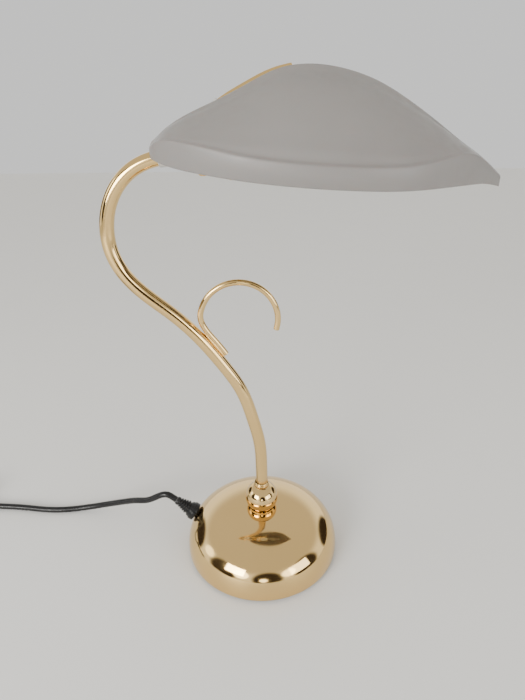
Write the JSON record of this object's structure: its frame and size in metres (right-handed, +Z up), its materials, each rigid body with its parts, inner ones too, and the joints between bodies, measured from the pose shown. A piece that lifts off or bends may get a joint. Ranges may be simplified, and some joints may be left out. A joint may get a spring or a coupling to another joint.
{
  "type": "desk lamp",
  "caption": "Swan-neck brass desk lamp: domed base, bent stem with a scroll rod, leaf-shaped satin glass shade, screw bulb, black cord with rocker switch and plug.",
  "frame": {"origin": "centre of the felt pad's underside, on the table", "axes": "+X along the shade towards its pointed tip, +Y to the lamp's left when seen from behind the stem, +Z up"},
  "size_m": [0.6086, 0.132, 0.3838],
  "materials": {
    "polished_brass": "polished and lacquered",
    "cast_iron": "as cast",
    "zinc_plated_steel": "zinc plated",
    "black_felt": "pressed felt",
    "satin_glass": "satin, nearly opaque",
    "bulb_glass": "clear",
    "clear_silicone": "soft, translucent",
    "black_pvc": "glossy",
    "white_thermoplastic": "satin moulded",
    "contact_insulator": "unglazed",
    "wire_insulation": "smooth",
    "nickel": "nickel plated"
  },
  "bodies": {
    "lamp": {"base_cover": "polished_brass", "stem_ball": "polished_brass", "stem_collar": "polished_brass", "stem_tube": "polished_brass", "scroll_rod": "polished_brass", "shade_clamp": "polished_brass", "shade_rod": "polished_brass", "lampholder_ring": "polished_brass", "screw_shell": "polished_brass", "centre_contact": "polished_brass", "switch_contact_1": "polished_brass", "switch_contact_2": "polished_brass", "base_weight": "cast_iron", "base_plate": "zinc_plated_steel", "cover_nipple": "zinc_plated_steel", "lock_washer": "zinc_plated_steel", "cover_nut": "zinc_plated_steel", "lampholder_nut": "zinc_plated_steel", "weight_screw_1": "zinc_plated_steel", "weight_screw_2": "zinc_plated_steel", "weight_screw_3": "zinc_plated_steel", "terminal_screw_1": "zinc_plated_steel", "terminal_screw_2": "zinc_plated_steel", "switch_post_1": "zinc_plated_steel", "switch_post_2": "zinc_plated_steel", "felt_pad": "black_felt", "glass_shade": "satin_glass", "rod_sleeve": "clear_silicone", "rest_sleeve": "clear_silicone", "strain_relief": "black_pvc", "cord_to_switch": "black_pvc", "cord_to_coil": "black_pvc", "cord_coil": "black_pvc", "cord_to_plug": "black_pvc", "cord_tail": "black_pvc", "switch_bottom": "black_pvc", "switch_top": "black_pvc", "plug_body": "black_pvc", "lampholder_cap": "white_thermoplastic", "lampholder_body": "white_thermoplastic", "terminal_block": "white_thermoplastic", "cord_clamp": "white_thermoplastic", "contact_insulator": "contact_insulator", "live_wire": "wire_insulation", "neutral_wire": "wire_insulation", "plug_pin_1": "nickel", "plug_pin_2": "nickel"},
    "rocker": {"switch_rocker": "black_pvc"},
    "clamp_screw": {"clamp_screw": "polished_brass"},
    "bulb": {"bulb_cap": "nickel", "bulb_tip": "nickel", "bulb_glass": "bulb_glass"}
  },
  "joints": [
    {"name": "rocker_tilt", "type": "hinge", "parent": "lamp", "child": "rocker", "pos_m": [-0.325, 0.048, 0.014], "axis": [0, 1, 0], "range_deg": [0, 16]},
    {"name": "clamp_screw_turn", "type": "hinge", "parent": "lamp", "child": "clamp_screw", "pos_m": [-0.035, 0, 0.325], "axis": [0, 0, -1], "range_deg": [0, 360]},
    {"name": "bulb_turn", "type": "hinge", "parent": "lamp", "child": "bulb", "pos_m": [0.02, 0, 0.332], "axis": [1, 0, 0], "range_deg": [0, 360]}
  ]
}
